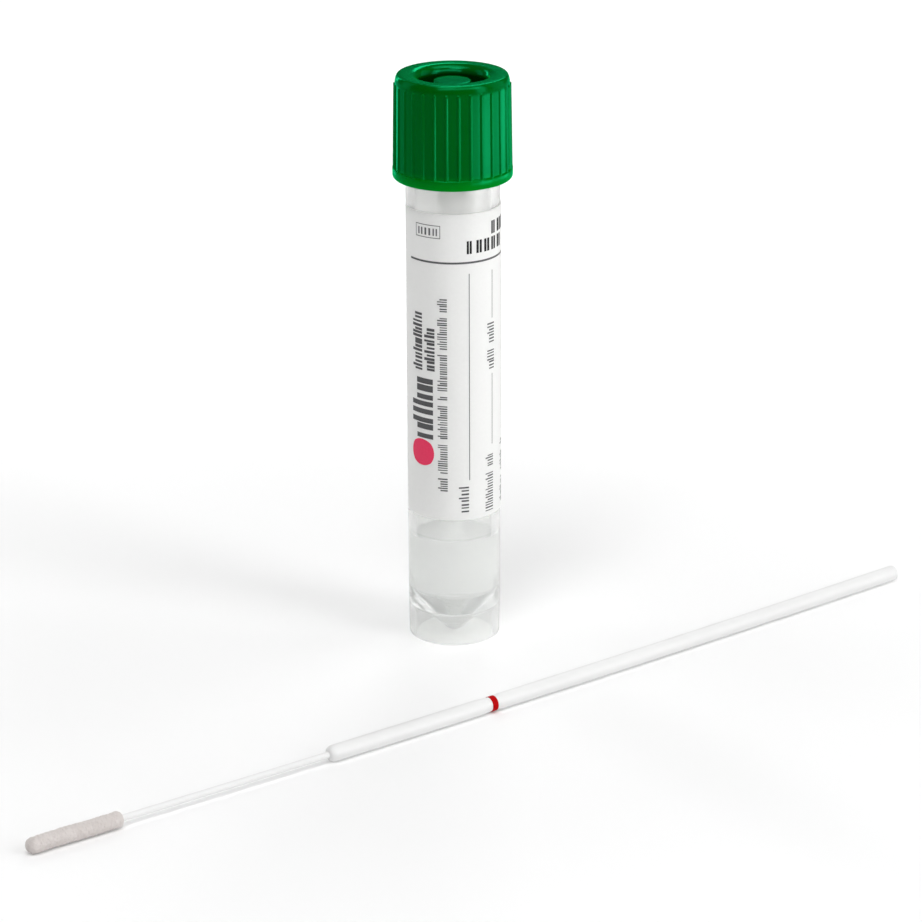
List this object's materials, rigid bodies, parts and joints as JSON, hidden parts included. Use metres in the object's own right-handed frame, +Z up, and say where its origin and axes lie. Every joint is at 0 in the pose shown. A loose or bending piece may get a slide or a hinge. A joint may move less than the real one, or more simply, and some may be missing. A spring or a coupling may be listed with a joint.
{
  "type": "specimen swab tube",
  "caption": "Screw-capped specimen tube of liquid medium, standing on the skirt around its conical bottom, with its flocked breakpoint swab lying in front.",
  "frame": {"origin": "centre of the ground that the tube and the swab cover together, at the height of the ground", "axes": "+X along the swab from its flocked tip to its grip, +Y from the swab to the tube, +Z up along the tube"},
  "size_m": [0.1462, 0.035, 0.08],
  "materials": {
    "clear_plastic": "gloss",
    "medium": "polished",
    "label_paper": "satin",
    "green_plastic": "gloss",
    "white_plastic": "gloss",
    "flock": "matte",
    "red_ink": "satin"
  },
  "bodies": {
    "tube": {"tube": "clear_plastic", "medium": "medium", "label": "label_paper", "swab_shaft": "white_plastic", "swab_tip": "flock", "break_mark": "red_ink"},
    "cap": {"cap": "green_plastic"}
  },
  "joints": [
    {"name": "cap_lift", "type": "slide", "parent": "tube", "child": "cap", "axis": [0, 0, 1], "range_m": [0, 0.03]}
  ]
}
